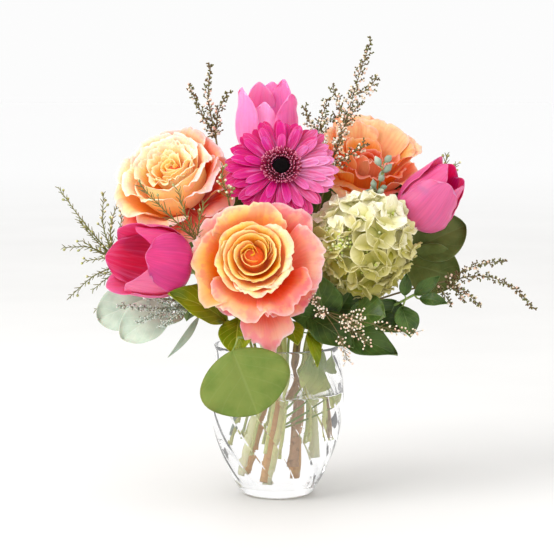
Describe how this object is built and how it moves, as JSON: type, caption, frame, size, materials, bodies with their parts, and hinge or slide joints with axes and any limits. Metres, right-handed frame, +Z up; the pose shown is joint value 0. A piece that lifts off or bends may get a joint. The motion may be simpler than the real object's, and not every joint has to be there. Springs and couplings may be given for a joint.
{
  "type": "mixed gerbera, rose, tulip and hydrangea bouquet in a glass vase",
  "caption": "Mixed bouquet of gerbera, roses, tulips and hydrangea with eucalyptus, salal and fine sprays, standing in water in a clear glass vase.",
  "frame": {"origin": "centre of the vase's foot, on the surface that it stands on", "axes": "+Z up along the vase's axis, the bouquet's front faces -Y, +X to the right as seen from the front"},
  "size_m": [0.3844, 0.1946, 0.3652],
  "materials": {
    "clear_glass": "clear, thick-based glass with a soft swirl of shallow facets, polished",
    "water": "clear still water",
    "rose_petal": "velvety petal, apricot with yellow base and coral-pink ruffled edge",
    "rose_petal_coral": "velvety petal, orange with a red throat and pink edge",
    "rose_stem": "smooth green stem, browner near its cut end",
    "tulip_petal": "satin petal, hot pink with paler edges and fine lengthwise veins",
    "tulip_stem": "smooth pale green fleshy stem",
    "gerbera_petal": "satin ray petals, magenta with paler streaks",
    "gerbera_florets": "fine crimson and pale pink disc florets",
    "gerbera_eye": "matte near-black centre",
    "gerbera_stem": "soft green stem",
    "hydrangea_petal": "cream-green petals, greener at their middle",
    "hydrangea_stem": "woody brown-green stem",
    "eucalyptus_leaf": "matte olive green leaf with a waxy bloom and pale midrib",
    "eucalyptus_pale": "matte pale silver-green leaf",
    "bright_leaf": "glossy yellow-green leaf with clear veins",
    "dark_leaf": "glossy dark green leaf with paler veins",
    "waxflower_needles": "fine green needles on thin stems with pale buds",
    "heather_twig": "thin brown twigs with small cream and pink buds",
    "heather_buds": "small white and pink buds on brown twigs"
  },
  "bodies": {
    "root": {"vase": "clear_glass", "water": "water", "rose_front_bloom": "rose_petal", "rose_left_bloom": "rose_petal", "rose_right_bloom": "rose_petal_coral", "rose_front_stem": "rose_stem", "rose_left_stem": "rose_stem", "rose_right_stem": "rose_stem", "tulip_top_bloom": "tulip_petal", "tulip_left_bloom": "tulip_petal", "tulip_right_bloom": "tulip_petal", "tulip_top_stem": "tulip_stem", "tulip_left_stem": "tulip_stem", "tulip_right_stem": "tulip_stem", "gerbera_rays": "gerbera_petal", "gerbera_floret_ring": "gerbera_florets", "gerbera_eye": "gerbera_eye", "gerbera_stem": "gerbera_stem", "hydrangea_head": "hydrangea_petal", "hydrangea_stem": "hydrangea_stem", "eucalyptus_front": "eucalyptus_leaf", "eucalyptus_left": "eucalyptus_pale", "eucalyptus_right": "eucalyptus_leaf", "eucalyptus_back": "eucalyptus_leaf", "eucalyptus_low_right": "dark_leaf", "salal_left": "bright_leaf", "salal_right": "bright_leaf", "salal_back": "dark_leaf", "salal_back_left": "dark_leaf", "pittosporum": "dark_leaf", "waxflower_front_left": "waxflower_needles", "waxflower_far_left": "waxflower_needles", "waxflower_middle": "waxflower_needles", "waxflower_right": "waxflower_needles", "heather_top_left": "heather_twig", "heather_tall": "heather_twig", "heather_right": "heather_twig", "heather_low_right": "heather_buds", "seeded_eucalyptus": "heather_twig", "eucalyptus_buds": "eucalyptus_pale"}
  },
  "joints": []
}
